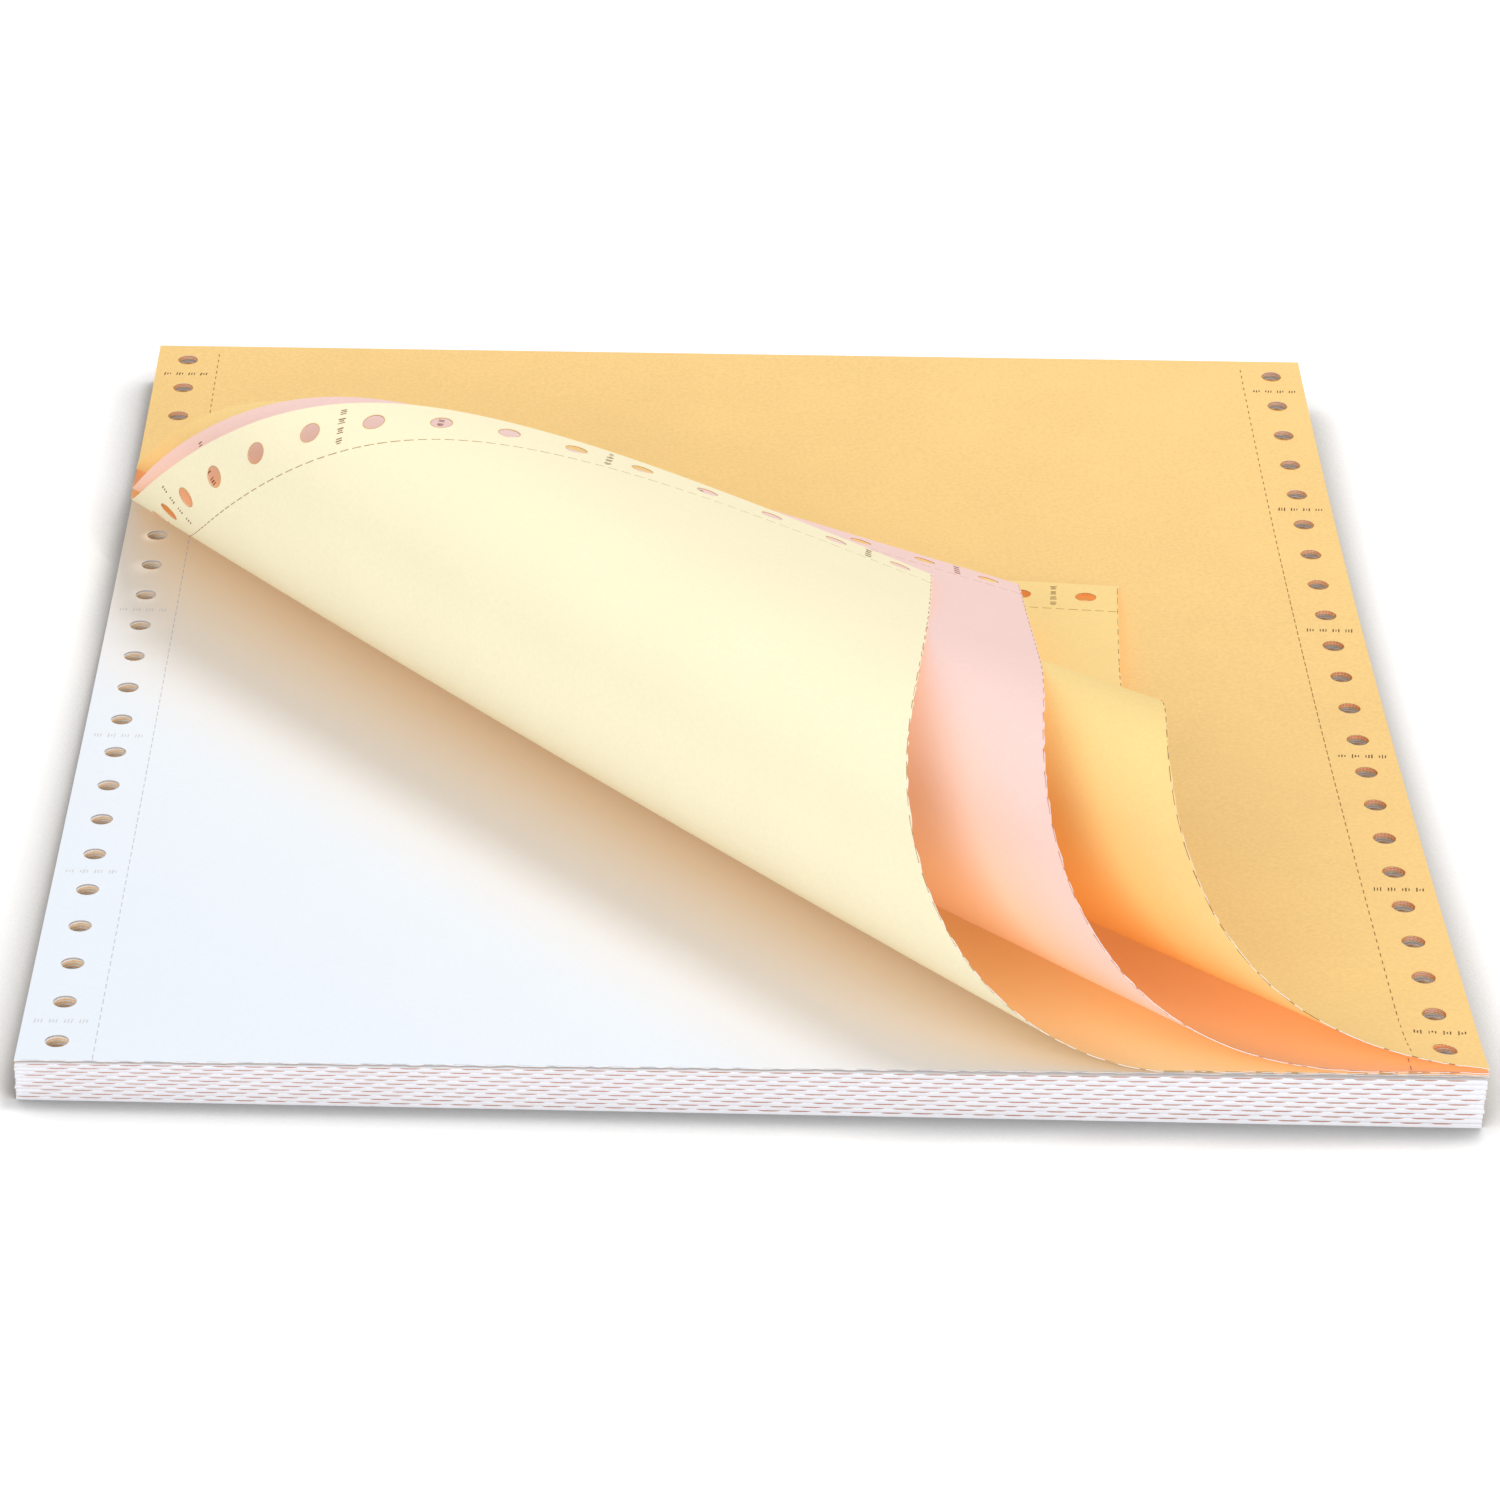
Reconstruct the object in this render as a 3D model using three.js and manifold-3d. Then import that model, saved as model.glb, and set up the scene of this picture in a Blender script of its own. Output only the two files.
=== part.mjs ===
// Fanfold continuous form paper: a zigzag stack of multi-ply forms. The top form's
// plies are peeled up from the front left corner and rolled towards the rear right.
// Millimetres, +Z up, X to the right, Y to the rear, origin on the floor under the
// middle of the stack.
import * as THREE from "three";
import { mergeVertices } from "three/addons/utils/BufferGeometryUtils.js";
import Module from "manifold-3d";

// Form size: 9.5 inches over both tear-off margins, 11 inches between folds.
const formWidth = 241.3;
const formLength = 279.4;

// Sprocket holes down both margins.
const holePitch = 12.7;
const holeDiameter = 4;
const holeToSideEdge = 6.35;
const stackHoleSides = 8;
const plyHoleSides = 6;

// Folded stack: its height at the folded ends, in the middle of the width. It is a
// wedge across the width, with puffier folds on the right, and its middle sags.
const stackHeight = 8.15;
const stackWedge = 1.26;
const sagLeft = 2.49;
const sagRight = 4.76;
const sagTowardsFront = 1.05;
const foldRows = 10;
const foldDepth = 0.45;
const foldArcSteps = 2;
const stackStepsAcross = 6;
const stackStepsAlong = 9;

// Loose plies of the top form, one above the other with a little air between.
const plyThickness = 0.1;
const plyGap = 0.25;
const plyStepsAcross = 7;
const plyStepsAlong = 9;
const curlStrips = 24;
const plyDrillLength = 1;

// Each rolled ply: where its first bend line meets the left edge and the front edge,
// how the next lines close up towards the free corner along those edges, and how
// sharply the paper bends from the first line to the corner, as radians for the
// whole way if it bent like that all along.
const creamCurl = {
  liftLeft: 87.34,
  spreadLeft: 1.166,
  liftFront: 68.39,
  spreadFront: 1.297,
  bends: [3.84, 3.85, 5.48, 7.94, 2.01, 0.4, 0.3],
};
const pinkCurl = {
  liftLeft: 91.8,
  spreadLeft: 1.395,
  liftFront: 109.45,
  spreadFront: 1.196,
  bends: [0.11, 4.78, 7.78, 8.65, 0, 0, 0],
};
const goldCurl = {
  liftLeft: 89.5,
  spreadLeft: 1.292,
  liftFront: 135.9,
  spreadFront: 0.803,
  bends: [4.9, 10.05, 10.46, -0.22, -2.5, -1.41, 0.76],
};

// Paper colours.
const whitePaper = new THREE.MeshStandardMaterial({ color: 0xf0f5fb, roughness: 0.85 });
const creamPaper = new THREE.MeshStandardMaterial({ color: 0xfcf2d2, roughness: 0.85 });
const pinkPaper = new THREE.MeshStandardMaterial({ color: 0xf9d8d2, roughness: 0.85 });
const goldPaper = new THREE.MeshStandardMaterial({ color: 0xf4cf8a, roughness: 0.85 });

const halfWidth = formWidth / 2;
const halfLength = formLength / 2;
const holesPerSide = Math.round(formLength / holePitch);
const firstHoleY = (holePitch * (holesPerSide - 1)) / 2;
const upwards = new THREE.Vector3(0, 0, 1);

// Height of the stack's top face above the floor.
function stackTop(x, y) {
  const across = THREE.MathUtils.clamp(x / halfWidth, -1, 1);
  const along = THREE.MathUtils.clamp(y / halfLength, -1, 1);
  const sag = (sagLeft * (1 - across) + sagRight * (1 + across)) / 2;
  const bowl = 1 - along * along;
  return stackHeight + stackWedge * across - sag * bowl - sagTowardsFront * bowl * along;
}

// Height of the middle of a ply's thickness above the stack, the lowest ply being 0.
function plyLift(order) {
  return plyGap + plyThickness / 2 + order * (plyThickness + plyGap);
}

// Middles of all sprocket holes on the flat sheet.
function holeCentres() {
  const centres = [];
  for (const side of [-1, 1]) {
    for (let index = 0; index < holesPerSide; index += 1) {
      const x = side * (halfWidth - holeToSideEdge);
      centres.push(new THREE.Vector2(x, firstHoleY - holePitch * index));
    }
  }
  return centres;
}

const wasm = await Module();
wasm.setup();

// A solid for cutting, from a closed geometry of which only the corners are kept.
function solidFrom(geometry) {
  const bare = geometry.clone();
  bare.deleteAttribute("normal");
  bare.deleteAttribute("uv");
  const merged = mergeVertices(bare, 1e-4);
  const corners = merged.index.array;
  const kept = [];
  for (let i = 0; i < corners.length; i += 3) {
    const [a, b, c] = [corners[i], corners[i + 1], corners[i + 2]];
    if (a !== b && b !== c && c !== a) {
      kept.push(a, b, c);
    }
  }
  const mesh = new wasm.Mesh({
    numProp: 3,
    vertProperties: new Float32Array(merged.attributes.position.array),
    triVerts: new Uint32Array(kept),
  });
  return new wasm.Manifold(mesh);
}

// The finished piece: the solid with its drills cut out, as a named mesh.
function drilledPiece(name, solid, drills, material) {
  const cut = drills.reduce((rest, drill) => rest.subtract(drill), solid);
  const mesh = cut.getMesh();
  const geometry = new THREE.BufferGeometry();
  geometry.setAttribute("position", new THREE.BufferAttribute(mesh.vertProperties, 3));
  geometry.setIndex(new THREE.BufferAttribute(mesh.triVerts, 1));
  geometry.computeVertexNormals();
  const piece = new THREE.Mesh(geometry, material);
  piece.name = name;
  return piece;
}

// A drill of the holes' size with its middle at a point, along a direction.
function drillAt(point, direction, length, sides) {
  const radius = holeDiameter / 2;
  const drill = new THREE.CylinderGeometry(radius, radius, length, sides);
  const turn = new THREE.Quaternion();
  turn.setFromUnitVectors(new THREE.Vector3(0, 1, 0), direction);
  drill.applyQuaternion(turn);
  drill.translate(point.x, point.y, point.z);
  return solidFrom(drill);
}

// One rounded fold after another, up or down an end face, each half an ellipse.
function foldPoints(endY, outward, fromZ, toZ) {
  const points = [];
  const step = (toZ - fromZ) / foldRows;
  for (let row = 0; row < foldRows; row += 1) {
    for (let i = 0; i < foldArcSteps; i += 1) {
      const angle = (Math.PI * i) / foldArcSteps;
      const z = fromZ + step * (row + (1 - Math.cos(angle)) / 2);
      points.push(new THREE.Vector2(endY + outward * foldDepth * Math.sin(angle), z));
    }
  }
  return points;
}

// The folded stack: its side outline, run across the width, then pressed to its sag.
function makeStack() {
  const inner = halfLength - foldDepth;
  const step = (2 * inner) / stackStepsAlong;
  const outline = [];
  for (let i = 0; i < stackStepsAlong; i += 1) {
    outline.push(new THREE.Vector2(-inner + step * i, 0));
  }
  outline.push(...foldPoints(inner, 1, 0, stackHeight));
  for (let i = 0; i < stackStepsAlong; i += 1) {
    outline.push(new THREE.Vector2(inner - step * i, stackHeight));
  }
  outline.push(...foldPoints(-inner, -1, stackHeight, 0));
  const slab = new THREE.ExtrudeGeometry(new THREE.Shape(outline), {
    depth: formWidth,
    steps: stackStepsAcross,
    bevelEnabled: false,
  });
  const place = slab.attributes.position;
  for (let i = 0; i < place.count; i += 1) {
    const y = place.getX(i);
    const share = place.getY(i) / stackHeight;
    const x = place.getZ(i) - halfWidth;
    place.setXYZ(i, x, y, share * stackTop(x, y));
  }
  const length = 4 * stackHeight;
  const drills = holeCentres().map((centre) => {
    const point = new THREE.Vector3(centre.x, centre.y, stackHeight / 2);
    return drillAt(point, upwards, length, stackHoleSides);
  });
  return drilledPiece("folded_pack", solidFrom(slab), drills, whitePaper);
}

// A ply that still lies flat on the stack.
function makeFlatPly(name, order, material) {
  const sheet = new THREE.BoxGeometry(
    formWidth,
    formLength,
    plyThickness,
    plyStepsAcross,
    plyStepsAlong,
    1,
  );
  const place = sheet.attributes.position;
  for (let i = 0; i < place.count; i += 1) {
    const rise = stackTop(place.getX(i), place.getY(i)) + plyLift(order);
    place.setZ(i, place.getZ(i) + rise);
  }
  const drills = holeCentres().map((centre) => {
    const rise = stackTop(centre.x, centre.y) + plyLift(order);
    const point = new THREE.Vector3(centre.x, centre.y, rise);
    return drillAt(point, upwards, plyDrillLength, plyHoleSides);
  });
  return drilledPiece(name, solidFrom(sheet), drills, material);
}

// The rolled part of a ply is a fan of narrow flat strips, each turned a little
// further about the bend line that parts it from the strip before.
function bendLines(curl) {
  const lines = [];
  for (let i = 0; i < curlStrips; i += 1) {
    const way = (i + 0.5) / curlStrips;
    const left = THREE.MathUtils.lerp(curl.liftLeft, -halfLength, way ** curl.spreadLeft);
    const front = THREE.MathUtils.lerp(curl.liftFront, -halfWidth, way ** curl.spreadFront);
    const knot = way * (curl.bends.length - 1);
    const low = Math.min(Math.floor(knot), curl.bends.length - 2);
    const rate = THREE.MathUtils.lerp(curl.bends[low], curl.bends[low + 1], knot - low);
    const start = new THREE.Vector3(-halfWidth, left, 0);
    const end = new THREE.Vector3(front, -halfLength, 0);
    lines.push({ start, end, angle: -rate / curlStrips });
  }
  return lines;
}

// For each strip, the move that carries a point of the flat sheet to its place.
function stripMoves(lines) {
  const moves = [new THREE.Matrix4()];
  for (const line of lines) {
    const axis = line.end.clone().sub(line.start).normalize();
    const back = line.start.clone().negate();
    const move = moves[moves.length - 1].clone();
    move.multiply(new THREE.Matrix4().makeTranslation(line.start));
    move.multiply(new THREE.Matrix4().makeRotationAxis(axis, line.angle));
    move.multiply(new THREE.Matrix4().makeTranslation(back));
    moves.push(move);
  }
  return moves;
}

// How many bend lines a point of the flat sheet lies beyond.
function stripOf(ply, x, y) {
  return ply.lines.filter(({ start, end }) => {
    const side = (x - start.x) * (end.y - start.y) - (y - start.y) * (end.x - start.x);
    return side > 0;
  }).length;
}

// Height of the stack beside a point: under it where the ply lies flat, and at the
// first bend line, square across from it, where the ply is rolled.
function seatHeight(ply, x, y, strip) {
  if (strip === 0) {
    return stackTop(x, y);
  }
  const { start, end } = ply.lines[0];
  const axis = end.clone().sub(start).normalize();
  const share = (x - start.x) * axis.x + (y - start.y) * axis.y;
  return stackTop(start.x + share * axis.x, start.y + share * axis.y);
}

function stripNormal(ply, strip) {
  return upwards.clone().transformDirection(ply.moves[strip]);
}

// Place of a point of the flat sheet, raised a little along the paper's own normal.
function placeOnPly(ply, x, y, strip, normal, raise) {
  const point = new THREE.Vector3(x, y, 0).applyMatrix4(ply.moves[strip]);
  point.z += ply.lift + seatHeight(ply, x, y, strip);
  return point.addScaledVector(normal, raise);
}

// Where a line along the bends' direction enters and leaves the sheet, as a row.
function rowAcross(start, end) {
  const low = start.clone();
  const high = end.clone();
  const slope = (end.y - start.y) / (end.x - start.x);
  if (low.y > halfLength) {
    low.set(start.x + (halfLength - start.y) / slope, halfLength, 0);
  }
  if (high.x > halfWidth) {
    high.set(halfWidth, start.y + (halfWidth - start.x) * slope, 0);
  }
  return { low, high };
}

// Rows of the whole sheet from the free corner to the rear right corner: the corner
// itself, the bend lines, then lines parallel to the first bend over the flat part.
function plyRows(ply) {
  const corner = new THREE.Vector3(-halfWidth, -halfLength, 0);
  const rows = [{ low: corner, high: corner, strip: ply.lines.length, blend: 0 }];
  for (let i = ply.lines.length - 1; i >= 0; i -= 1) {
    const line = ply.lines[i];
    const inner = ply.lines[i + 1];
    if (inner && inner.end.x < halfWidth && line.end.x > halfWidth) {
      const share = (halfWidth - inner.end.x) / (line.end.x - inner.end.x);
      const low = inner.start.clone().lerp(line.start, share);
      const high = inner.end.clone().lerp(line.end, share);
      rows.push({ low, high, strip: i + 1, blend: 0 });
    }
    rows.push({ ...rowAcross(line.start, line.end), strip: i, blend: 1 });
  }
  const { start, end } = ply.lines[0];
  const slope = (end.y - start.y) / (end.x - start.x);
  const leftOf = (x, y) => y + (-halfWidth - x) * slope;
  const stops = [
    start.y,
    leftOf(-halfWidth, halfLength),
    leftOf(halfWidth, -halfLength),
    leftOf(halfWidth, halfLength),
  ]
    .filter((stop) => stop >= start.y)
    .sort((a, b) => a - b);
  for (let i = 1; i < stops.length; i += 1) {
    const parts = Math.ceil((stops[i] - stops[i - 1]) / ply.rowSpacing);
    for (let part = 1; part <= parts; part += 1) {
      const left = THREE.MathUtils.lerp(stops[i - 1], stops[i], part / parts);
      const from = new THREE.Vector3(-halfWidth, left, 0);
      const to = new THREE.Vector3(-halfWidth + (-halfLength - left) / slope, -halfLength, 0);
      rows.push({ ...rowAcross(from, to), strip: 0, blend: 0 });
    }
  }
  return rows;
}

// The skin of a thin sheet: both faces over the rows, and the rim between them.
function sheetGeometry(ply) {
  const rows = plyRows(ply);
  const across = plyStepsAcross + 1;
  const corners = [];
  for (const raise of [-plyThickness / 2, plyThickness / 2]) {
    for (const row of rows) {
      const normal = stripNormal(ply, row.strip);
      normal.add(stripNormal(ply, row.strip + row.blend)).normalize();
      for (let i = 0; i < across; i += 1) {
        const flat = row.low.clone().lerp(row.high, i / plyStepsAcross);
        const point = placeOnPly(ply, flat.x, flat.y, row.strip, normal, raise);
        corners.push(point.x, point.y, point.z);
      }
    }
  }
  const upper = rows.length * across;
  const faces = [];
  const quad = (a, b, c, d) => faces.push(a, b, c, a, c, d);
  for (let row = 0; row < rows.length - 1; row += 1) {
    const here = row * across;
    const next = here + across;
    for (let i = 0; i < plyStepsAcross; i += 1) {
      quad(here + i, next + i, next + i + 1, here + i + 1);
      quad(upper + here + i, upper + here + i + 1, upper + next + i + 1, upper + next + i);
    }
    const end = plyStepsAcross;
    quad(here, upper + here, upper + next, next);
    quad(next + end, upper + next + end, upper + here + end, here + end);
  }
  const geometry = new THREE.BufferGeometry();
  geometry.setAttribute("position", new THREE.Float32BufferAttribute(corners, 3));
  geometry.setIndex(faces);
  return geometry;
}

// A ply peeled from the front left corner and rolled over itself.
function makeRolledPly(name, order, curl, material) {
  const lines = bendLines(curl);
  const rowSpacing = formLength / plyStepsAlong;
  const ply = { lines, moves: stripMoves(lines), lift: plyLift(order), rowSpacing };
  const drills = holeCentres().map(({ x, y }) => {
    const strip = stripOf(ply, x, y);
    const normal = stripNormal(ply, strip);
    const point = placeOnPly(ply, x, y, strip, normal, 0);
    return drillAt(point, normal, plyDrillLength, plyHoleSides);
  });
  return drilledPiece(name, solidFrom(sheetGeometry(ply)), drills, material);
}

const forms = new THREE.Group();
forms.add(makeStack());
forms.add(makeFlatPly("white_ply", 0, whitePaper));
forms.add(makeRolledPly("cream_ply", 1, creamCurl, creamPaper));
forms.add(makeRolledPly("pink_ply", 2, pinkCurl, pinkPaper));
forms.add(makeRolledPly("gold_ply", 3, goldCurl, goldPaper));

export default forms;
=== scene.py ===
import math
import random

import bpy
import numpy as np
from mathutils import Matrix, Vector
from mathutils.geometry import delaunay_2d_cdt


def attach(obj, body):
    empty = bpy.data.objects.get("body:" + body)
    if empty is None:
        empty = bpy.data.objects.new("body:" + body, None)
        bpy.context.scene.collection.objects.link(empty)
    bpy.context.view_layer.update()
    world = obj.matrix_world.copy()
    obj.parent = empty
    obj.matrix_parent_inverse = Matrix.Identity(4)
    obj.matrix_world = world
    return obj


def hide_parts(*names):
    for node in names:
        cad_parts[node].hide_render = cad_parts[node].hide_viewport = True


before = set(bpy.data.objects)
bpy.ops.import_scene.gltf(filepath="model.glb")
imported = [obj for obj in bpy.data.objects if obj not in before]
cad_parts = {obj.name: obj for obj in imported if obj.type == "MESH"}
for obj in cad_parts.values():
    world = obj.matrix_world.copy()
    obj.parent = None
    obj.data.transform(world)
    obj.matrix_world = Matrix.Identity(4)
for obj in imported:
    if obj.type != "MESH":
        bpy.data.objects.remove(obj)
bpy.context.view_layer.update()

# Floor and studio. A pale floor runs under and around the paper. It shows white to the
# camera wherever no soft shadow falls on it; next to the paper a painted contact shadow
# darkens it. The key lamp hangs high at the rear right.
FLOOR_HALF = 4.0
FLOOR_GREY, FLOOR_TO_CAMERA = 0.8, 1.13
CONTACT_REACH, CONTACT_DEPTH = 0.013, 1.6
NEAR_SAMPLES = 4
SKY_COLOUR, SKY_STRENGTH = (0.97, 0.985, 1.0, 1), 0.55
CAMERA_PLACE = (-0.02764, -0.83299, 0.45094)
CAMERA_TURN = (61.0844, -1.9734, -0.9696)
CAMERA_LENS, CAMERA_SENSOR = 120.53, 36


def linear(red, green, blue, light=1.0):
    """A colour as seen on screen, turned to a reflectance under the given light."""
    values = []
    for value in (red, green, blue):
        share = value / 255
        flat = share / 12.92 if share < 0.04045 else ((share + 0.055) / 1.055) ** 2.4
        values.append(flat / light)
    return (*values, 1.0)


floor_mesh = bpy.data.meshes.new("studio_floor")
floor_mesh.from_pydata(
    [(-FLOOR_HALF, -FLOOR_HALF, 0), (FLOOR_HALF, -FLOOR_HALF, 0),
     (FLOOR_HALF, FLOOR_HALF, 0), (-FLOOR_HALF, FLOOR_HALF, 0)], [], [(0, 1, 2, 3)])
floor = bpy.data.objects.new("studio_floor", floor_mesh)
bpy.context.scene.collection.objects.link(floor)
floor_paint = bpy.data.materials.new("studio_floor")
floor_paint.use_nodes = True
nodes = floor_paint.node_tree.nodes
links = floor_paint.node_tree.links
nodes.clear()
path = nodes.new("ShaderNodeLightPath")
tone = nodes.new("ShaderNodeMix")
tone.data_type = "RGBA"
tone.inputs[6].default_value = (FLOOR_GREY, FLOOR_GREY, FLOOR_GREY, 1)
tone.inputs[7].default_value = (FLOOR_TO_CAMERA, FLOOR_TO_CAMERA, FLOOR_TO_CAMERA, 1)
matte = nodes.new("ShaderNodeBsdfDiffuse")
output = nodes.new("ShaderNodeOutputMaterial")
# Painted contact shadow: the floor colour is darkened wherever the paper is near.
painted_shadow_ao = nodes.new("ShaderNodeAmbientOcclusion")
painted_shadow_ao.samples = NEAR_SAMPLES
painted_shadow_ao.inputs["Distance"].default_value = CONTACT_REACH
deepen = nodes.new("ShaderNodeMath")
deepen.operation = "POWER"
deepen.inputs[1].default_value = CONTACT_DEPTH
contact = nodes.new("ShaderNodeMix")
contact.data_type = "RGBA"
contact.blend_type = "MULTIPLY"
contact.inputs[0].default_value = 1
links.new(path.outputs["Is Camera Ray"], tone.inputs[0])
links.new(painted_shadow_ao.outputs["AO"], deepen.inputs[0])
links.new(tone.outputs[2], contact.inputs[6])
links.new(deepen.outputs[0], contact.inputs[7])
links.new(contact.outputs[2], matte.inputs["Color"])
links.new(matte.outputs[0], output.inputs["Surface"])
floor_mesh.materials.append(floor_paint)

world = bpy.data.worlds.new("studio")
world.use_nodes = True
world.node_tree.nodes["Background"].inputs["Color"].default_value = SKY_COLOUR
world.node_tree.nodes["Background"].inputs["Strength"].default_value = SKY_STRENGTH
bpy.context.scene.world = world


def lamp(name, place, aim, size, power, colour):
    """A round area lamp that shines from its place towards its aim."""
    light = bpy.data.lights.new(name, "AREA")
    light.shape = "DISK"
    light.size = size
    light.energy = power
    light.color = colour
    thing = bpy.data.objects.new(name, light)
    thing.location = place
    direction = Vector(aim) - Vector(place)
    thing.rotation_euler = direction.to_track_quat("-Z", "Y").to_euler()
    bpy.context.scene.collection.objects.link(thing)


lamp("key", place=(0.3, 0.4, 1.25), aim=(0, 0, 0), size=0.45, power=7.0,
     colour=(1.0, 0.985, 0.96))
lamp("left_fill", place=(-0.6, -1.35, 0.55), aim=(0, -0.1, 0), size=1.0, power=10.0,
     colour=(1, 1, 1))
lamp("right_fill", place=(0.95, -1.15, 0.4), aim=(0.05, -0.05, 0.02), size=0.7, power=9.0,
     colour=(1.0, 0.97, 0.93))

camera_data = bpy.data.cameras.new("camera")
camera_data.sensor_width = CAMERA_SENSOR
camera_data.lens = CAMERA_LENS
camera = bpy.data.objects.new("camera", camera_data)
camera.location = CAMERA_PLACE
camera.rotation_euler = [math.radians(angle) for angle in CAMERA_TURN]
bpy.context.scene.collection.objects.link(camera)
bpy.context.scene.camera = camera
bpy.context.scene.view_settings.view_transform = "Standard"

# Folded stack. About twenty leaves of four-ply form, folded zigzag at their cross
# perforations: white folds at the front, gold ones at the rear, ply edges at the sides,
# and punched sprocket holes whose walls show the slightly shifted leaves.
MM = 0.001
FORM_WIDTH, FORM_LENGTH = 241.3, 279.4
HALF_WIDTH, HALF_LENGTH = FORM_WIDTH / 2, FORM_LENGTH / 2
HOLE_PITCH, HOLE_RADIUS, HOLE_INSET = 12.7, 2.0, 6.35
HOLES_PER_SIDE = 22
HOLE_SIDES = 18
HOLES = [(side * (HALF_WIDTH - HOLE_INSET), HOLE_PITCH * ((HOLES_PER_SIDE - 1) / 2 - i))
         for side in (-1, 1) for i in range(HOLES_PER_SIDE)]
STACK_HEIGHT, STACK_WEDGE = 8.15, 1.26
SAG_LEFT, SAG_RIGHT, SAG_TO_FRONT = 2.49, 4.76, 1.05
LEAVES = 20
FOLD_DEPTH = 0.45
LEAF_STEPS = (0, 0.14, 0.5, 0.86)
HOLE_STEPS = (0.02, 0.98)
LEAF_INSET, LEAF_GROOVE, LEAF_SLIP = 0.22, 0.16, 0.12
HOLE_BORDER = 0.7
INSIDE_OUTLINES = 1
CLOSE, SLIVER, MERGE = 1e-4, 1e-6, 1e-5
INSIDE_HOLE = 0.97
BITES = (-0.2, 1)
GROOVE_PART = 0.05
PAPER_ROUGHNESS, PAPER_SHINE = 0.88, 0.2
FIBRE_SCALE, FIBRE_DETAIL, FIBRE_SHARE = 1400, 5, 0.7
CLOUD_SCALE, CLOUD_DETAIL, CLOUD_SHARE = 45, 3, 0.3
GRAIN_LOW, GRAIN_HIGH, GRAIN_LIFT = 0.3, 0.7, 0.4
BUMP_STRENGTH, BUMP_DEPTH = 0.12, 0.00005


def stack_top(x, y):
    """Height of the stack's top face, which is a wedge that sags in the middle."""
    across = np.clip(x / HALF_WIDTH, -1, 1)
    along = np.clip(y / HALF_LENGTH, -1, 1)
    sag = (SAG_LEFT * (1 - across) + SAG_RIGHT * (1 + across)) / 2
    bowl = 1 - along * along
    return STACK_HEIGHT + STACK_WEDGE * across - sag * bowl - SAG_TO_FRONT * bowl * along


def flat_form(grid, edge_step, front_steps, tear, seed):
    """Plan of one form: points, triangles, the outer loop and the hole loops."""
    chance = random.Random(seed)
    points = []
    for i in range(front_steps):
        x = -HALF_WIDTH + FORM_WIDTH * i / front_steps
        bite = tear * chance.uniform(*BITES) if 0 < i else 0
        points.append((x, -HALF_LENGTH + bite))
    side_steps = round(FORM_LENGTH / edge_step)
    rear_steps = round(FORM_WIDTH / edge_step)
    for i in range(side_steps):
        points.append((HALF_WIDTH, -HALF_LENGTH + FORM_LENGTH * i / side_steps))
    for i in range(rear_steps):
        points.append((HALF_WIDTH - FORM_WIDTH * i / rear_steps, HALF_LENGTH))
    for i in range(side_steps):
        points.append((-HALF_WIDTH, HALF_LENGTH - FORM_LENGTH * i / side_steps))
    outer = list(range(len(points)))
    loops = []
    for cx, cy in HOLES:
        first = len(points)
        for i in range(HOLE_SIDES):
            turn = 2 * math.pi * i / HOLE_SIDES
            points.append((cx + HOLE_RADIUS * math.cos(turn), cy + HOLE_RADIUS * math.sin(turn)))
        loops.append(list(range(first, first + HOLE_SIDES)))
    clear = HOLE_RADIUS + HOLE_BORDER
    columns = round(FORM_WIDTH / grid)
    rows = round(FORM_LENGTH / grid)
    for i in range(1, columns):
        x = -HALF_WIDTH + FORM_WIDTH * i / columns
        for j in range(1, rows):
            y = -HALF_LENGTH + FORM_LENGTH * j / rows
            if all((x - cx) ** 2 + (y - cy) ** 2 > clear ** 2 for cx, cy in HOLES):
                points.append((x, y))
    edges = list(zip(outer, outer[1:] + outer[:1]))
    for loop in loops:
        edges.extend(zip(loop, loop[1:] + loop[:1]))
    plan = delaunay_2d_cdt([Vector(p) for p in points], edges, [], INSIDE_OUTLINES, MERGE)
    points = np.array([(p.x, p.y) for p in plan[0]])
    triangles = []
    for corners in plan[2]:
        cx, cy = points[list(corners)].mean(axis=0)
        side = math.copysign(HALF_WIDTH - HOLE_INSET, cx)
        inside = any((cx - hx) ** 2 + (cy - hy) ** 2 < (INSIDE_HOLE * HOLE_RADIUS) ** 2
                     for hx, hy in HOLES if hx == side)
        if not inside:
            triangles.append(tuple(corners))
    kept = []
    for a, b, c in triangles:
        ab = points[b] - points[a]
        ac = points[c] - points[a]
        area = ab[0] * ac[1] - ab[1] * ac[0]
        if abs(area) > SLIVER:
            kept.append((a, b, c) if area > 0 else (a, c, b))
    return points, kept, outer, loops


def add_piece(name, corners, faces, materials, slots, smooth_below):
    """An object in the scene from corners in millimetres, smooth up to an angle."""
    mesh = bpy.data.meshes.new(name)
    mesh.from_pydata((np.asarray(corners) * MM).tolist(), [], faces)
    for material in materials:
        mesh.materials.append(material)
    mesh.polygons.foreach_set("material_index", slots)
    mesh.polygons.foreach_set("use_smooth", [True] * len(faces))
    mesh.set_sharp_from_angle(angle=math.radians(smooth_below))
    mesh.update()
    piece = bpy.data.objects.new(name, mesh)
    bpy.context.scene.collection.objects.link(piece)
    return piece


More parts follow.
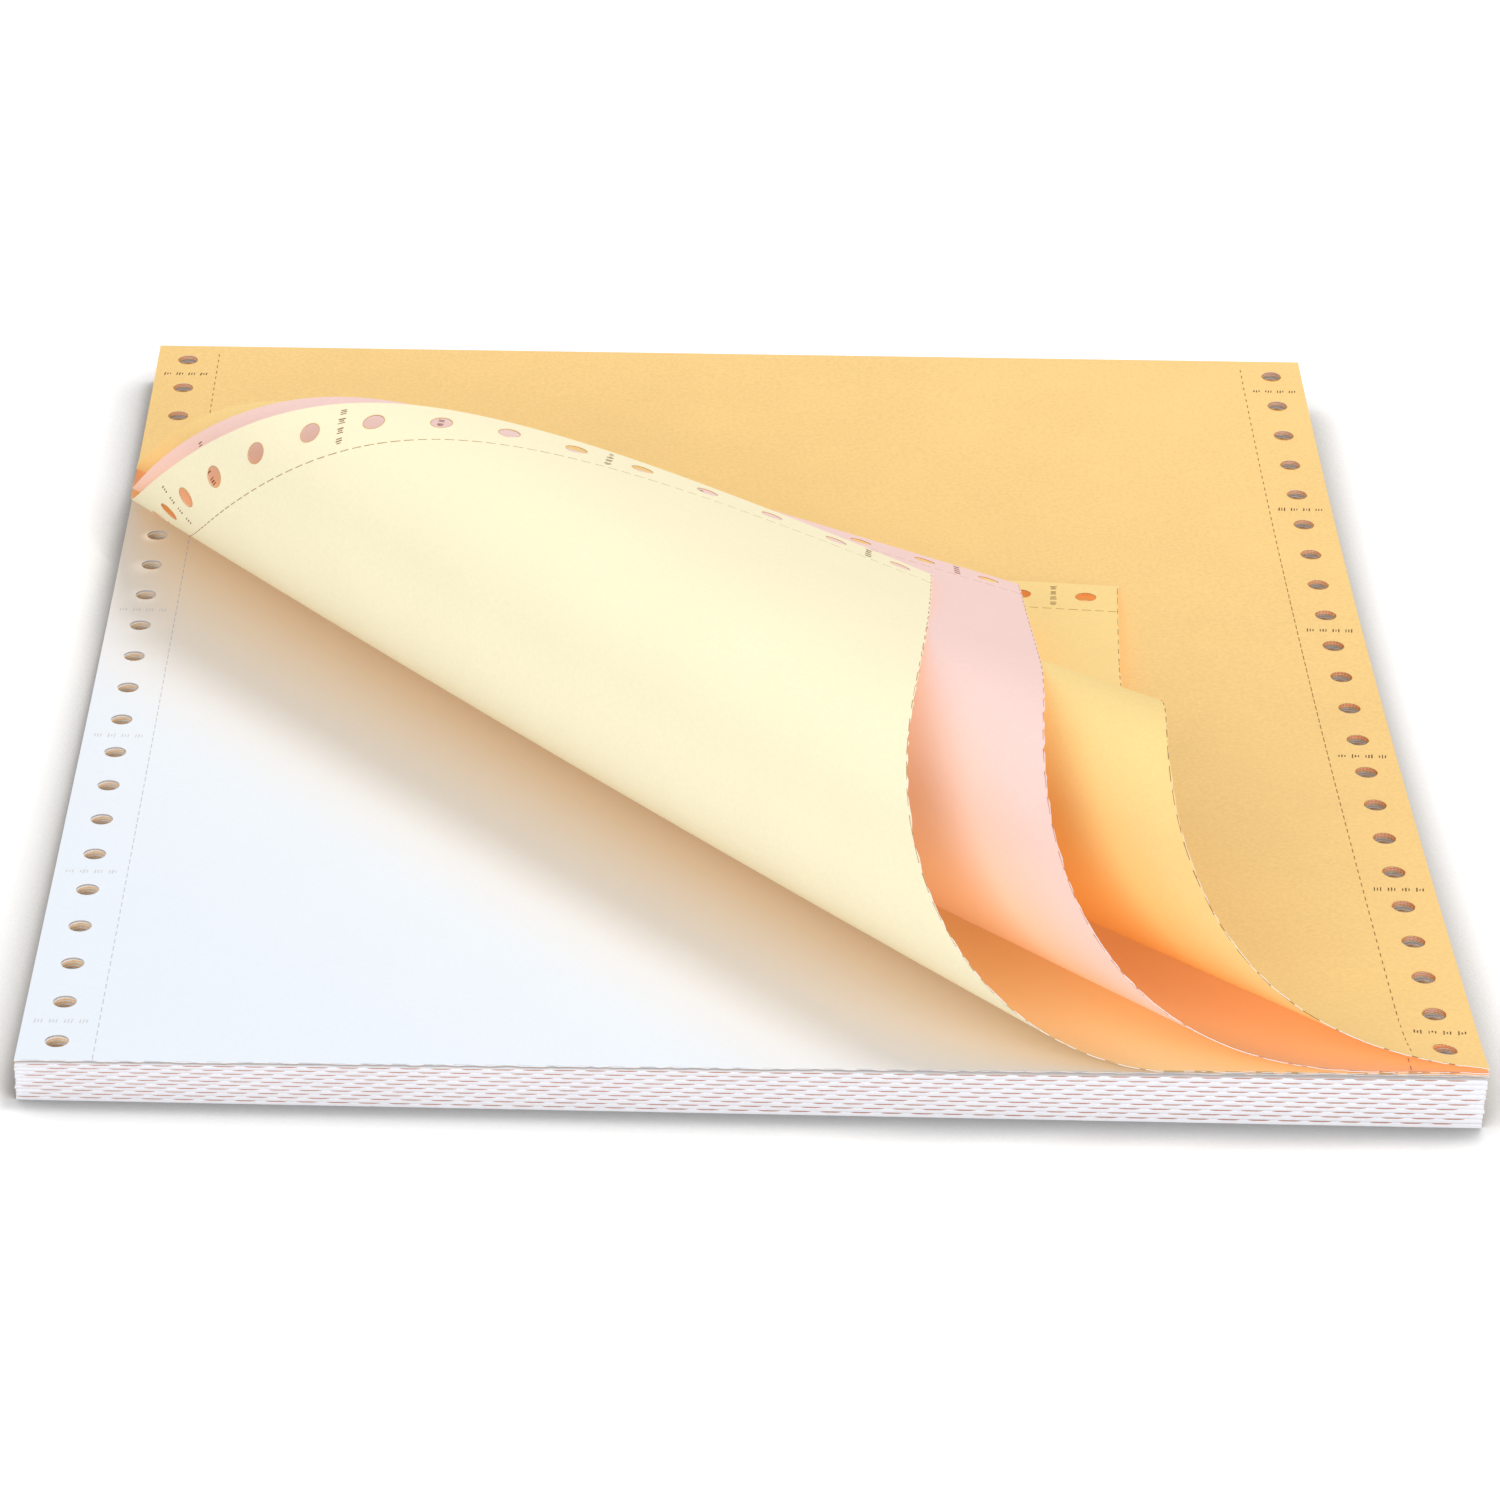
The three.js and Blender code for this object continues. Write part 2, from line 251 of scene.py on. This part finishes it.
def paper(name, colour, grain=0.05, shade=None, reach=0.02, depth=1.0, glow=0.0):
    """Matt paper with fine fibres. Where other paper is near, its colour is painted towards
    the shade colour as painted shade, and it gets a painted glow of that colour that stands
    in for light coming through the thin plies."""
    material = bpy.data.materials.new(name)
    material.use_nodes = True
    nodes = material.node_tree.nodes
    links = material.node_tree.links
    shader = nodes["Principled BSDF"]
    shader.inputs["Roughness"].default_value = PAPER_ROUGHNESS
    shader.inputs["Specular IOR Level"].default_value = PAPER_SHINE
    coords = nodes.new("ShaderNodeTexCoord")
    fibres = nodes.new("ShaderNodeTexNoise")
    fibres.inputs["Scale"].default_value = FIBRE_SCALE
    fibres.inputs["Detail"].default_value = FIBRE_DETAIL
    cloud = nodes.new("ShaderNodeTexNoise")
    cloud.inputs["Scale"].default_value = CLOUD_SCALE
    cloud.inputs["Detail"].default_value = CLOUD_DETAIL
    links.new(coords.outputs["Object"], fibres.inputs["Vector"])
    links.new(coords.outputs["Object"], cloud.inputs["Vector"])
    blend = nodes.new("ShaderNodeMath")
    blend.operation = "MULTIPLY_ADD"
    blend.inputs[1].default_value = FIBRE_SHARE
    links.new(fibres.outputs[0], blend.inputs[0])
    quiet = nodes.new("ShaderNodeMath")
    quiet.operation = "MULTIPLY"
    quiet.inputs[1].default_value = CLOUD_SHARE
    links.new(cloud.outputs[0], quiet.inputs[0])
    links.new(quiet.outputs[0], blend.inputs[2])
    level = nodes.new("ShaderNodeMapRange")
    level.inputs["From Min"].default_value = GRAIN_LOW
    level.inputs["From Max"].default_value = GRAIN_HIGH
    level.inputs["To Min"].default_value = 1 - grain
    level.inputs["To Max"].default_value = 1 + grain * GRAIN_LIFT
    links.new(blend.outputs[0], level.inputs["Value"])
    tint = nodes.new("ShaderNodeMix")
    tint.data_type = "RGBA"
    tint.blend_type = "MULTIPLY"
    tint.inputs[0].default_value = 1
    tint.inputs[6].default_value = colour
    links.new(level.outputs[0], tint.inputs[7])
    result = tint.outputs[2]
    # Painted shade and painted glow: near other paper the colour is mixed towards the shade colour
    # and the paper emits it.
    if shade:
        near = nodes.new("ShaderNodeAmbientOcclusion")
        near.samples = NEAR_SAMPLES
        near.inputs["Distance"].default_value = reach
        bend = nodes.new("ShaderNodeMath")
        bend.operation = "POWER"
        bend.inputs[1].default_value = depth
        links.new(near.outputs["AO"], bend.inputs[0])
        warm = nodes.new("ShaderNodeMix")
        warm.data_type = "RGBA"
        warm.inputs[6].default_value = shade
        links.new(bend.outputs[0], warm.inputs[0])
        links.new(result, warm.inputs[7])
        result = warm.outputs[2]
        through = nodes.new("ShaderNodeMapRange")
        through.inputs["To Min"].default_value = glow
        through.inputs["To Max"].default_value = 0
        links.new(bend.outputs[0], through.inputs["Value"])
        shader.inputs["Emission Color"].default_value = shade
        material.cycles.emission_sampling = "NONE"
        links.new(through.outputs[0], shader.inputs["Emission Strength"])
    links.new(result, shader.inputs["Base Color"])
    bump = nodes.new("ShaderNodeBump")
    bump.inputs["Strength"].default_value = BUMP_STRENGTH
    bump.inputs["Distance"].default_value = BUMP_DEPTH
    links.new(fibres.outputs[0], bump.inputs["Height"])
    links.new(bump.outputs[0], shader.inputs["Normal"])
    return material


def ply_edges(name, colours):
    """Cut edges of a stack, in bands of the ply colours, from the leaf attribute."""
    material = paper(name, colours[0])
    nodes = material.node_tree.nodes
    links = material.node_tree.links
    leaf = nodes.new("ShaderNodeAttribute")
    leaf.attribute_name = "leaf"
    zigzag = nodes.new("ShaderNodeMath")
    zigzag.operation = "PINGPONG"
    zigzag.inputs[1].default_value = 1
    bands = nodes.new("ShaderNodeValToRGB")
    bands.color_ramp.interpolation = "CONSTANT"
    while len(bands.color_ramp.elements) < len(colours):
        bands.color_ramp.elements.new(0.5)
    for index, colour in enumerate(colours):
        bands.color_ramp.elements[index].position = index / len(colours)
        bands.color_ramp.elements[index].color = colour
    links.new(leaf.outputs["Fac"], zigzag.inputs[0])
    links.new(zigzag.outputs[0], bands.inputs["Fac"])
    links.new(bands.outputs["Color"], nodes["Principled BSDF"].inputs["Base Color"])
    return material


# How brightly the flat top is lit. The colours seen there are divided by it.
LIGHT = 1.04
WHITE = linear(234, 240, 249, LIGHT)
CREAM = linear(253, 243, 208, LIGHT)
PINK = linear(250, 216, 210, LIGHT)
GOLD = linear(250, 211, 140, LIGHT)
# The white folds at the front are drawn greyer than the flat white sheet: a painted shade on the
# front of the stack.
white_fold = paper("white_fold", linear(226, 226, 231, LIGHT))
gold_fold = paper("gold_fold", GOLD)
leaf_edges = ply_edges("leaf_edges", [WHITE, CREAM, PINK, GOLD])

plan, triangles, outer, loops = flat_form(grid=8, edge_step=5, front_steps=60, tear=0, seed=1)
chance = random.Random(5)
levels = [(leaf + part) / LEAVES for leaf in range(LEAVES) for part in LEAF_STEPS] + [1.0]
leaf_inset = [chance.uniform(0.0, LEAF_INSET) for _ in range(LEAVES)]
leaf_slip = [(chance.uniform(-LEAF_SLIP, LEAF_SLIP), chance.uniform(-LEAF_SLIP, LEAF_SLIP))
             for _ in range(LEAVES)]


def leaf_at(level):
    return min(int(level * LEAVES + SLIVER), LEAVES - 1)


def side_inset(level):
    """How far a leaf's cut edge lies inside the form's side, with grooves between."""
    leaf = leaf_at(level)
    part = level * LEAVES - leaf
    return leaf_inset[leaf] + (LEAF_GROOVE if part < GROOVE_PART or part > 1 - GROOVE_PART else 0)


def fold_reach(level, shift):
    """How far a rounded fold stands out: one fold for every two leaves."""
    share = (level * LEAVES + shift) % 2 / 2
    return FOLD_DEPTH * (abs(math.sin(math.pi * share)) - 1)


def outer_ring(level):
    """The stack's outline at a level, from 0 at the floor to 1 at the top face."""
    ring = []
    for index in outer:
        x, y = plan[index]
        z = level * stack_top(x, y)
        if abs(x) > HALF_WIDTH - CLOSE:
            x -= math.copysign(side_inset(level), x)
        if abs(y) > HALF_LENGTH - CLOSE:
            y += math.copysign(fold_reach(level, 0 if y < 0 else 1), y)
        ring.append((x, y, z))
    return ring


def hole_ring(loop, level):
    """A punched hole's edge at a level, where each leaf has slipped a little."""
    slip_x, slip_y = leaf_slip[leaf_at(level)]
    return [(plan[i][0] + slip_x, plan[i][1] + slip_y, level * stack_top(*plan[i])) for i in loop]


count = len(plan)
corners = [(x, y, 0.0) for x, y in plan] + [(x, y, stack_top(x, y)) for x, y in plan]
leaf_of = [0.0] * count + [float(LEAVES)] * count
for level, base in ((0.0, 0), (1.0, count)):
    for index, place in zip(outer, outer_ring(level)):
        corners[base + index] = place
faces = [(a + count, b + count, c + count) for a, b, c in triangles]
faces += [(c, b, a) for a, b, c in triangles]
FRONT_FOLDS, REAR_FOLDS, CUT_EDGES = 0, 1, 2
slots = [FRONT_FOLDS] * len(faces)


def add_wall(loop, ring_at, wall_levels, outward, slot_of):
    """A wall of rings from the bottom face's loop to the top face's loop."""
    rings = [list(loop)]
    for level in wall_levels[1:-1]:
        rings.append(list(range(len(corners), len(corners) + len(loop))))
        corners.extend(ring_at(level))
        leaf_of.extend([level * LEAVES] * len(loop))
    rings.append([index + count for index in loop])
    size = len(loop)
    for low, high in zip(rings, rings[1:]):
        for i in range(size):
            j = (i + 1) % size
            quad = (low[i], low[j], high[j], high[i])
            faces.append(quad if outward else quad[::-1])
            slots.append(slot_of(loop[i], loop[j]))


def outer_slot(a, b):
    if abs(plan[a][1] - plan[b][1]) < CLOSE:
        return FRONT_FOLDS if plan[a][1] < 0 else REAR_FOLDS
    return CUT_EDGES


add_wall(outer, outer_ring, levels, True, outer_slot)
hole_levels = [(leaf + part) / LEAVES for leaf in range(LEAVES) for part in HOLE_STEPS]
hole_levels = [0.0] + hole_levels + [1.0]
for loop in loops:
    add_wall(loop, lambda level, loop=loop: hole_ring(loop, level), hole_levels, False,
             lambda a, b: CUT_EDGES)
folded_stack = add_piece("folded_stack", corners, faces, [white_fold, gold_fold, leaf_edges],
                         slots, smooth_below=50)
leaf_layer = folded_stack.data.attributes.new("leaf", "FLOAT", "POINT")
leaf_layer.data.foreach_set("value", leaf_of)
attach(folded_stack, "root")
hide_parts("folded_pack")

# Fold perforations. Slender cuts through the folds at the front and rear, pressed when
# the form was made. Each row of cuts is set off from the row above, like brickwork.
# A cut is drawn as a lens, which is longer than the cut because its ends taper.
CUT_PITCH, CUT_LENGTH = 5.05, 3.55
LENS_SIZE, LENS_UNEVEN = (CUT_LENGTH + 1.1, 0.18, 0.8), (0.6, 0, 0.2)
LENS_SUNK, LENS_TILT = 0.02, -1.0
FIRST_CUT, LAST_CUT, ROW_SHIFT = 2.2, 2, 0.37
LENS_SIDES, LENS_BANDS = 6, 4
RING_SIDES, RING_WALL = 20, 0.03
INK_ROUGHNESS, INK_SHINE = 0.95, 0.05


def marks_nodes():
    """Nodes that put a lens, a block or a ring on every point, turned by its attribute."""
    group = bpy.data.node_groups.new("marks_on_points", "GeometryNodeTree")
    face = group.interface
    face.new_socket("Geometry", in_out="OUTPUT", socket_type="NodeSocketGeometry")
    face.new_socket("Points", in_out="INPUT", socket_type="NodeSocketGeometry")
    keys = {}
    for label, kind in (("Size", "NodeSocketVector"), ("Uneven", "NodeSocketVector"),
                        ("Block", "NodeSocketBool"), ("Ring", "NodeSocketBool"),
                        ("Seed", "NodeSocketInt"), ("Material", "NodeSocketMaterial")):
        keys[label] = face.new_socket(label, in_out="INPUT", socket_type=kind).identifier
    nodes = group.nodes
    links = group.links
    entry = nodes.new("NodeGroupInput")
    leave = nodes.new("NodeGroupOutput")
    lens = nodes.new("GeometryNodeMeshUVSphere")
    lens.inputs["Segments"].default_value = LENS_SIDES
    lens.inputs["Rings"].default_value = LENS_BANDS
    lens.inputs["Radius"].default_value = 0.5
    block = nodes.new("GeometryNodeMeshCube")
    block.inputs["Size"].default_value = (1, 1, 1)
    circle = nodes.new("GeometryNodeCurvePrimitiveCircle")
    circle.inputs["Resolution"].default_value = RING_SIDES
    circle.inputs["Radius"].default_value = 0.5
    section = nodes.new("GeometryNodeCurvePrimitiveQuadrilateral")
    section.inputs["Width"].default_value = RING_WALL
    section.inputs["Height"].default_value = 1.0
    ring = nodes.new("GeometryNodeCurveToMesh")
    links.new(circle.outputs[0], ring.inputs["Curve"])
    links.new(section.outputs[0], ring.inputs["Profile Curve"])
    choice = nodes.new("GeometryNodeSwitch")
    choice.input_type = "GEOMETRY"
    links.new(entry.outputs["Block"], choice.inputs["Switch"])
    links.new(lens.outputs["Mesh"], choice.inputs["False"])
    links.new(block.outputs["Mesh"], choice.inputs["True"])
    round_choice = nodes.new("GeometryNodeSwitch")
    round_choice.input_type = "GEOMETRY"
    links.new(entry.outputs["Ring"], round_choice.inputs["Switch"])
    links.new(choice.outputs[0], round_choice.inputs["False"])
    links.new(ring.outputs[0], round_choice.inputs["True"])
    turn = nodes.new("GeometryNodeInputNamedAttribute")
    turn.data_type = "FLOAT_VECTOR"
    turn.inputs["Name"].default_value = "turn"
    rotation = nodes.new("FunctionNodeEulerToRotation")
    links.new(turn.outputs["Attribute"], rotation.inputs[0])
    uneven = nodes.new("FunctionNodeRandomValue")
    uneven.data_type = "FLOAT_VECTOR"
    low = nodes.new("ShaderNodeVectorMath")
    low.operation = "SUBTRACT"
    links.new(entry.outputs["Size"], low.inputs[0])
    links.new(entry.outputs["Uneven"], low.inputs[1])
    links.new(low.outputs[0], uneven.inputs[0])
    links.new(entry.outputs["Size"], uneven.inputs[1])
    links.new(entry.outputs["Seed"], uneven.inputs["Seed"])
    spread = nodes.new("GeometryNodeInstanceOnPoints")
    links.new(entry.outputs["Points"], spread.inputs["Points"])
    links.new(round_choice.outputs[0], spread.inputs["Instance"])
    links.new(rotation.outputs[0], spread.inputs["Rotation"])
    links.new(uneven.outputs[0], spread.inputs["Scale"])
    solid = nodes.new("GeometryNodeRealizeInstances")
    links.new(spread.outputs[0], solid.inputs[0])
    finish = nodes.new("GeometryNodeSetMaterial")
    links.new(solid.outputs[0], finish.inputs["Geometry"])
    links.new(entry.outputs["Material"], finish.inputs["Material"])
    links.new(finish.outputs[0], leave.inputs[0])
    return group, keys


marks_group, marks_keys = marks_nodes()


def marks(name, places, turns, size, uneven, shape, material, seed):
    """A piece of many equal marks at places in millimetres, as a plain mesh."""
    mesh = bpy.data.meshes.new(name)
    mesh.from_pydata((np.asarray(places) * MM).tolist(), [], [])
    layer = mesh.attributes.new("turn", "FLOAT_VECTOR", "POINT")
    layer.data.foreach_set("vector", np.asarray(turns, dtype=float).ravel())
    piece = bpy.data.objects.new(name, mesh)
    bpy.context.scene.collection.objects.link(piece)
    nodes_on = piece.modifiers.new("marks", "NODES")
    nodes_on.node_group = marks_group
    nodes_on[marks_keys["Size"]] = [value * MM for value in size]
    nodes_on[marks_keys["Uneven"]] = [value * MM for value in uneven]
    nodes_on[marks_keys["Block"]] = shape == "block"
    nodes_on[marks_keys["Ring"]] = shape == "ring"
    nodes_on[marks_keys["Seed"]] = seed
    nodes_on[marks_keys["Material"]] = material
    graph = bpy.context.evaluated_depsgraph_get()
    plain = bpy.data.meshes.new_from_object(piece.evaluated_get(graph))
    piece.modifiers.clear()
    piece.data = plain
    plain.name = name
    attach(piece, "root")
    return piece


def ink(name, colour):
    """Plain dull colour of a cut, a pressed mark or a painted shade along a punched edge."""
    material = bpy.data.materials.new(name)
    material.use_nodes = True
    shader = material.node_tree.nodes["Principled BSDF"]
    shader.inputs["Base Color"].default_value = colour
    shader.inputs["Roughness"].default_value = INK_ROUGHNESS
    shader.inputs["Specular IOR Level"].default_value = INK_SHINE
    return material


fold_cut = ink("fold_cut", linear(172, 126, 108))
rear_cut = ink("rear_cut", linear(150, 96, 50))
for end, side, material, shift in (("front", -1, fold_cut, 0.0), ("rear", 1, rear_cut, 1.0)):
    places = []
    turns = []
    for row in range(LEAVES // 2):
        level = (2 * row + 1 + shift) / LEAVES
        if level >= 1:
            continue
        offset = CUT_PITCH * ((row * ROW_SHIFT) % 1)
        for i in range(int(FORM_WIDTH / CUT_PITCH)):
            x = -HALF_WIDTH + FIRST_CUT + offset + CUT_PITCH * i
            if x > HALF_WIDTH - LAST_CUT:
                continue
            y = side * (HALF_LENGTH - LENS_SUNK)
            places.append((x, y, level * stack_top(x, y)))
            turns.append((0, math.radians(LENS_TILT), 0))
    marks("fold_cuts_" + end, places, turns, LENS_SIZE, LENS_UNEVEN, "lens", material,
          seed=3)

# White ply. The lowest sheet of the top form, thin white paper. It lies on the stack and
# follows its sag; its front edge was torn along the cross perforation.
PLY_THICKNESS, PLY_GAP = 0.1, 0.25
PLY_GRID, PLY_FRONT_STEPS, TEAR_BITE = 3, 190, 0.35
FACE, BACK, RIMS = 0, 1, 2


def ply_lift(order):
    """Height of the middle of a ply's thickness above the stack, the lowest being 0."""
    return PLY_GAP + PLY_THICKNESS / 2 + order * (PLY_THICKNESS + PLY_GAP)


def flat_place(order):
    """Where points of a ply that lies flat on the stack are, with their normals."""
    def place(points):
        x, y = points[:, 0], points[:, 1]
        spots = np.column_stack([x, y, stack_top(x, y) + ply_lift(order)])
        return spots, np.tile((0.0, 0.0, 1.0), (len(points), 1))
    return place


def add_ply(name, place, face, back, seed):
    """A thin closed sheet with its sprocket holes, its two faces of their own paper."""
    points, triangles, outer, loops = flat_form(PLY_GRID, PLY_GRID, PLY_FRONT_STEPS, TEAR_BITE,
                                                seed)
    spots, normals = place(points)
    count = len(points)
    half = PLY_THICKNESS / 2
    corners = np.vstack([spots - normals * half, spots + normals * half])
    faces = [(a + count, b + count, c + count) for a, b, c in triangles]
    slots = [FACE] * len(faces)
    faces += [(c, b, a) for a, b, c in triangles]
    slots += [BACK] * len(triangles)
    for loop, outward in [(outer, True)] + [(loop, False) for loop in loops]:
        for a, b in zip(loop, loop[1:] + loop[:1]):
            quad = (a, b, b + count, a + count)
            faces.append(quad if outward else quad[::-1])
            slots.append(RIMS)
    return add_piece(name, corners, faces, [face, back, white_fold], slots, smooth_below=40)


# The white sheet is painted a warm brown shadow where the rolled plies are near, with a faint
# painted glow.
white_face = paper("white_face", WHITE, grain=0.02, shade=linear(236, 208, 176), reach=0.04,
                   depth=1.3, glow=0.09)
white_place = flat_place(0)
white_ply = add_ply("white_sheet", white_place, white_face, white_face, 11)
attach(white_ply, "root")
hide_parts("white_ply")

# Cream ply. The second sheet of the form, thin cream paper, peeled up from the front left
# corner and rolled towards the rear right, so its pale underside is outermost. Its face is
# drawn warmer than the underside, as painted bounce light from the gaps.
BENDS, SUB_BENDS = 24, 4


def rolled_place(order, lift_left, spread_left, lift_front, spread_front, bends):
    """A ply bent without stretching about one line after another towards its corner.

    The first line meets the left and the front edge at the two lifts, and the spreads
    space the lines from there to the corner. The bends say how sharply the paper turns.
    """
    starts, ends, moves = [], [], [Matrix.Identity(4)]
    for i in range(BENDS):
        knot = (i + 0.5) / BENDS * (len(bends) - 1)
        low = min(int(knot), len(bends) - 2)
        rate = bends[low] + (bends[low + 1] - bends[low]) * (knot - low)
        for k in range(SUB_BENDS):
            way = (i + (k + 0.5) / SUB_BENDS) / BENDS
            left = lift_left + (-HALF_LENGTH - lift_left) * way ** spread_left
            front = lift_front + (-HALF_WIDTH - lift_front) * way ** spread_front
            start = Vector((-HALF_WIDTH, left, 0))
            end = Vector((front, -HALF_LENGTH, 0))
            turn = Matrix.Rotation(-rate / BENDS / SUB_BENDS, 4, (end - start).normalized())
            moves.append(moves[-1] @ Matrix.Translation(start) @ turn @ Matrix.Translation(-start))
            starts.append(start)
            ends.append(end)
    starts = np.array(starts)
    ends = np.array(ends)
    moves = np.array([[list(row) for row in move] for move in moves])
    axis = (ends[0] - starts[0]) / np.linalg.norm(ends[0] - starts[0])

    def place(points):
        x = points[:, 0]
        y = points[:, 1]
        strip = np.zeros(len(points), dtype=int)
        for start, end in zip(starts, ends):
            side = (x - start[0]) * (end[1] - start[1]) - (y - start[1]) * (end[0] - start[0])
            strip += side > 0
        share = (x - starts[0][0]) * axis[0] + (y - starts[0][1]) * axis[1]
        foot_x = starts[0][0] + share * axis[0]
        foot_y = starts[0][1] + share * axis[1]
        seat = np.where(strip == 0, stack_top(x, y), stack_top(foot_x, foot_y))
        flat = np.column_stack([x, y, np.zeros(len(x)), np.ones(len(x))])
        spots = np.einsum("nij,nj->ni", moves[strip], flat)[:, :3]
        spots[:, 2] += ply_lift(order) + seat
        normals = moves[strip][:, :3, 2]
        return spots, normals
    return place


cream_place = rolled_place(order=1, lift_left=87.34, spread_left=1.166, lift_front=68.39,
                           spread_front=1.297, bends=(3.84, 3.85, 5.48, 7.94, 2.01, 0.4, 0.3))
# Painted shade in the gaps between the rolled plies: faces turn this orange, with a faint painted
# glow, where other paper is near.
GAP_SHADE_ORANGE = linear(246, 204, 142)
cream_face = paper("cream_face", linear(254, 232, 180, LIGHT), grain=0.04, shade=GAP_SHADE_ORANGE,
                   reach=0.032, depth=0.7, glow=0.15)
cream_back = paper("cream_back", CREAM, grain=0.04)
cream_ply = add_ply("cream_sheet", cream_place, cream_face, cream_back, 12)
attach(cream_ply, "root")
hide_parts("cream_ply")

# Pink ply. The third sheet of the form, thin pink paper, bent the same way and rolled
# inside the cream one. Its face is drawn more orange than its underside, as painted bounce
# light, and takes a painted warm shade and glow where the gold ply is near.
pink_place = rolled_place(order=2, lift_left=91.8, spread_left=1.395, lift_front=109.45,
                          spread_front=1.196, bends=(0.11, 4.78, 7.78, 8.65, 0, 0, 0))
pink_face = paper("pink_face", linear(252, 190, 165, LIGHT), grain=0.04, shade=GAP_SHADE_ORANGE,
                  reach=0.032, depth=0.7, glow=0.15)
# The underside is painted a warm shade, with a faint painted glow, where the cream ply is near.
pink_back = paper("pink_back", PINK, grain=0.04, shade=linear(255, 214, 182), reach=0.04,
                  depth=0.6, glow=0.12)
pink_ply = add_ply("pink_sheet", pink_place, pink_face, pink_back, 13)
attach(pink_ply, "root")
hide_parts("pink_ply")

# Gold ply. The top sheet of the form, thin gold paper, rolled innermost. Its free corner
# has turned right over and lies, its paler underside up, on the part that stays flat.
gold_place = rolled_place(order=3, lift_left=89.5, spread_left=1.292, lift_front=135.9,
                          spread_front=0.803,
                          bends=(4.9, 10.05, 10.46, -0.22, -2.5, -1.41, 0.76))
# Both sides of the gold sheet are painted a warm shade with a faint painted glow where other paper
# is near; under the flap this lightens the sheet seen through its holes.
gold_face = paper("gold_face", GOLD, grain=0.09, shade=linear(246, 196, 124), reach=0.008,
                  depth=1.0, glow=0.17)
gold_back = paper("gold_back", linear(254, 222, 150, LIGHT), grain=0.06,
                  shade=linear(254, 198, 116), reach=0.04, depth=0.5, glow=0.13)
gold_ply = add_ply("gold_sheet", gold_place, gold_face, gold_back, 14)
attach(gold_ply, "root")
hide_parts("gold_ply")

# Margin perforations, crimps and painted hole shades. Fine cuts let the sprocket margins tear
# off; rows of pressed marks between some holes hold the plies of a form together. Thin rings
# around the sprocket holes paint the shade at the punched edges.
MARGIN = 12.7
TEAR_PITCH, TEAR_CUT, FIRST_TEAR = 2.54, 1.9, 1.2
FIRST_TORN, TORN_INSET, LAST_MARK = 2.6, 0.25, 2
CRIMP_PITCH, BAR_PITCH = 2.5, 0.55
CRIMP_BARS = [(mark - 1.5) * CRIMP_PITCH + (bar - 1) * BAR_PITCH
              for mark in range(4) for bar in range(3)]
CRIMP_ROWS = (0, 4, 8, 12, 16, 20)
CRIMP_LEAN = (0.12, 1)
CUT_SIZE = (TEAR_CUT, 0.17, PLY_THICKNESS + 0.03)
TORN_SIZE = (CUT_LENGTH, 0.13, PLY_THICKNESS + 0.02)
CRIMP_SIZE = (1.5, 0.26, PLY_THICKNESS + 0.05)
RIM_SIZE = (2 * HOLE_RADIUS + 0.1, 2 * HOLE_RADIUS + 0.1, PLY_THICKNESS + 0.02)
AHEAD = 0.3


def marks_on(place, points, directions):
    """Places of marks on a ply and how each is turned to lie in its surface."""
    points = np.asarray(points, dtype=float)
    directions = np.asarray(directions, dtype=float)
    spots, normals = place(points)
    ahead = place(points + directions * AHEAD)[0]
    turns = []
    for spot, normal, far in zip(spots, normals, ahead):
        up = Vector(normal)
        along = Vector(far - spot)
        along = (along - up * along.dot(up)).normalized()
        matrix = Matrix((along, up.cross(along), up)).transposed()
        turns.append(tuple(matrix.to_euler()))
    return spots, turns


plies = (("white", white_place, linear(196, 200, 208), linear(205, 208, 214), None),
         ("cream", cream_place, linear(176, 150, 105), linear(140, 110, 75), linear(215, 170, 110)),
         ("pink", pink_place, linear(190, 140, 120), linear(150, 100, 85), linear(220, 150, 120)),
         ("gold", gold_place, linear(150, 112, 62), linear(105, 84, 60), linear(196, 146, 84)))
for name, place, cut_tone, crimp_tone, hole_edge_shade_tone in plies:
    tears = [(side * (HALF_WIDTH - MARGIN), -HALF_LENGTH + FIRST_TEAR + TEAR_PITCH * i)
             for side in (-1, 1) for i in range(int((FORM_LENGTH - LAST_MARK) / TEAR_PITCH))]
    spots, turns = marks_on(place, tears, [(0, 1)] * len(tears))
    marks(name + "_margin_cuts", spots, turns, size=CUT_SIZE,
          uneven=(0.3, 0, 0), shape="block", material=ink(name + "_cut", cut_tone),
          seed=4)
    torn = [(-HALF_WIDTH + FIRST_TORN + CUT_PITCH * i, -HALF_LENGTH + TORN_INSET)
            for i in range(int((FORM_WIDTH - LAST_MARK) / CUT_PITCH))]
    spots, turns = marks_on(place, torn, [(1, 0)] * len(torn))
    marks(name + "_torn_edge", spots, turns, size=TORN_SIZE,
          uneven=(0.6, 0.05, 0), shape="block", material=ink(name + "_torn", cut_tone),
          seed=5)
    crimps = []
    for side in (-1, 1):
        for row in CRIMP_ROWS:
            y = HOLE_PITCH * ((HOLES_PER_SIDE - 1) / 2 - row - 0.5)
            crimps += [(side * (HALF_WIDTH - HOLE_INSET) + bar, y) for bar in CRIMP_BARS]
    spots, turns = marks_on(place, crimps, [CRIMP_LEAN] * len(crimps))
    marks(name + "_crimps", spots, turns, size=CRIMP_SIZE,
          uneven=(0.9, 0.1, 0), shape="block", material=ink(name + "_crimp", crimp_tone),
          seed=6)
    # Painted shade: a thin dark ring around each sprocket hole of the rolled plies.
    if hole_edge_shade_tone:
        spots, turns = marks_on(place, HOLES, [(0, 1)] * len(HOLES))
        marks(name + "_hole_edge_shades", spots, turns, size=RIM_SIZE,
              uneven=(0, 0, 0), shape="ring", material=ink(name + "_rim", hole_edge_shade_tone),
              seed=8)
